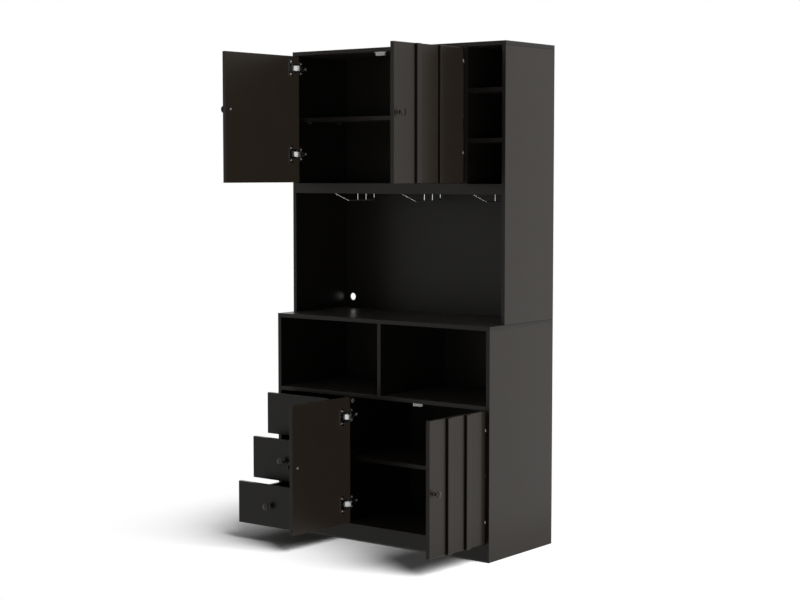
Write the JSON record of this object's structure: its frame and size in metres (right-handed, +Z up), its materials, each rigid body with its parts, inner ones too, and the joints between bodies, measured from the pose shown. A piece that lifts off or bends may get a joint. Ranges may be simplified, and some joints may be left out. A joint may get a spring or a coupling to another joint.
{
  "type": "buffet cabinet",
  "caption": "Tall black kitchen buffet: hutch with doors, side cubbies and a niche with glass hangers over a base with cubbies, drawers and doors.",
  "frame": {"origin": "on the floor under the middle of the base's footprint", "axes": "+X to the right seen from the front, -Y towards the viewer in front, +Z up"},
  "size_m": [0.9896, 0.7078, 1.8],
  "materials": {
    "black_board": "satin black melamine board",
    "black_back": "thin black backing board",
    "knob_metal": "dark satin metal",
    "hinge_steel": "bright nickel plated",
    "hanger_chrome": "polished wire",
    "zinc": "zinc plated",
    "cap_plastic": "grey cap",
    "catch_plastic": "white housing"
  },
  "bodies": {
    "cabinet": {"base_left_side": "black_board", "base_right_side": "black_board", "base_top": "black_board", "cubby_floor": "black_board", "cubby_divider": "black_board", "base_divider": "black_board", "base_bottom": "black_board", "plinth_rails": "black_board", "base_back": "black_back", "base_shelf": "black_board", "hutch_left_side": "black_board", "hutch_right_side": "black_board", "hutch_top": "black_board", "hutch_floor": "black_board", "hutch_rail": "black_board", "hutch_partition": "black_board", "column_shelves": "black_board", "hutch_shelf": "black_board", "hutch_back": "black_back", "glass_hangers": "hanger_chrome", "shelf_pins": "zinc", "cam_caps": "cap_plastic", "catches": "catch_plastic", "runner_rails": "zinc", "hinge_arms": "hinge_steel"},
    "upper_left_door": {"upper_left_door": "black_board", "upper_left_battens": "black_board", "upper_left_knob": "knob_metal", "upper_left_irons": "hinge_steel"},
    "upper_left_hinge_links": {"upper_left_links": "hinge_steel"},
    "upper_right_door": {"upper_right_door": "black_board", "upper_right_battens": "black_board", "upper_right_knob": "knob_metal", "upper_right_irons": "hinge_steel"},
    "upper_right_hinge_links": {"upper_right_links": "hinge_steel"},
    "lower_left_door": {"lower_left_door": "black_board", "lower_left_battens": "black_board", "lower_left_knob": "knob_metal", "lower_left_irons": "hinge_steel"},
    "lower_left_hinge_links": {"lower_left_links": "hinge_steel"},
    "lower_right_door": {"lower_right_door": "black_board", "lower_right_battens": "black_board", "lower_right_knob": "knob_metal", "lower_right_irons": "hinge_steel"},
    "lower_right_hinge_links": {"lower_right_links": "hinge_steel"},
    "drawer_1": {"drawer_1_front": "black_board", "drawer_1_walls": "black_board", "drawer_1_bottom": "black_back", "drawer_1_knob": "knob_metal", "drawer_1_rails": "zinc"},
    "drawer_2": {"drawer_2_front": "black_board", "drawer_2_walls": "black_board", "drawer_2_bottom": "black_back", "drawer_2_knob": "knob_metal", "drawer_2_rails": "zinc"},
    "drawer_3": {"drawer_3_front": "black_board", "drawer_3_walls": "black_board", "drawer_3_bottom": "black_back", "drawer_3_knob": "knob_metal", "drawer_3_rails": "zinc"}
  },
  "joints": [
    {"name": "upper_left_hinge", "type": "hinge", "parent": "cabinet", "child": "upper_left_door", "pos_m": [-0.468, -0.11, 1.5469], "axis": [0, 0, -1], "range_deg": [-92, 5]},
    {"name": "upper_left_link_turn", "type": "hinge", "parent": "cabinet", "child": "upper_left_hinge_links", "pos_m": [-0.468, -0.11, 1.5469], "axis": [0, 0, -1], "range_deg": [-46, 2.5]},
    {"name": "upper_right_hinge", "type": "hinge", "parent": "cabinet", "child": "upper_right_door", "pos_m": [0.306, -0.11, 1.5469], "axis": [0, 0, 1], "range_deg": [-89, 8]},
    {"name": "upper_right_link_turn", "type": "hinge", "parent": "cabinet", "child": "upper_right_hinge_links", "pos_m": [0.306, -0.11, 1.5469], "axis": [0, 0, 1], "range_deg": [-44.5, 4]},
    {"name": "lower_left_hinge", "type": "hinge", "parent": "cabinet", "child": "lower_left_door", "pos_m": [-0.149, -0.2, 0.296], "axis": [0, 0, -1], "range_deg": [-92, 0]},
    {"name": "lower_left_link_turn", "type": "hinge", "parent": "cabinet", "child": "lower_left_hinge_links", "pos_m": [-0.149, -0.2, 0.296], "axis": [0, 0, -1], "range_deg": [-46, 0]},
    {"name": "lower_right_hinge", "type": "hinge", "parent": "cabinet", "child": "lower_right_door", "pos_m": [0.468, -0.2, 0.296], "axis": [0, 0, 1], "range_deg": [-88, 9]},
    {"name": "lower_right_link_turn", "type": "hinge", "parent": "cabinet", "child": "lower_right_hinge_links", "pos_m": [0.468, -0.2, 0.296], "axis": [0, 0, 1], "range_deg": [-44, 4.5]},
    {"name": "drawer_1_slide", "type": "slide", "parent": "cabinet", "child": "drawer_1", "axis": [0, -1, 0], "range_m": [-0.08, 0.165]},
    {"name": "drawer_2_slide", "type": "slide", "parent": "cabinet", "child": "drawer_2", "axis": [0, -1, 0], "range_m": [-0.16, 0.085]},
    {"name": "drawer_3_slide", "type": "slide", "parent": "cabinet", "child": "drawer_3", "axis": [0, -1, 0], "range_m": [-0.24, 0.005]}
  ],
  "couplings": [
    {"joint": "upper_left_link_turn", "follows": "upper_left_hinge", "ratio": 0.5},
    {"joint": "upper_right_link_turn", "follows": "upper_right_hinge", "ratio": 0.5},
    {"joint": "lower_left_link_turn", "follows": "lower_left_hinge", "ratio": 0.5},
    {"joint": "lower_right_link_turn", "follows": "lower_right_hinge", "ratio": 0.5}
  ]
}
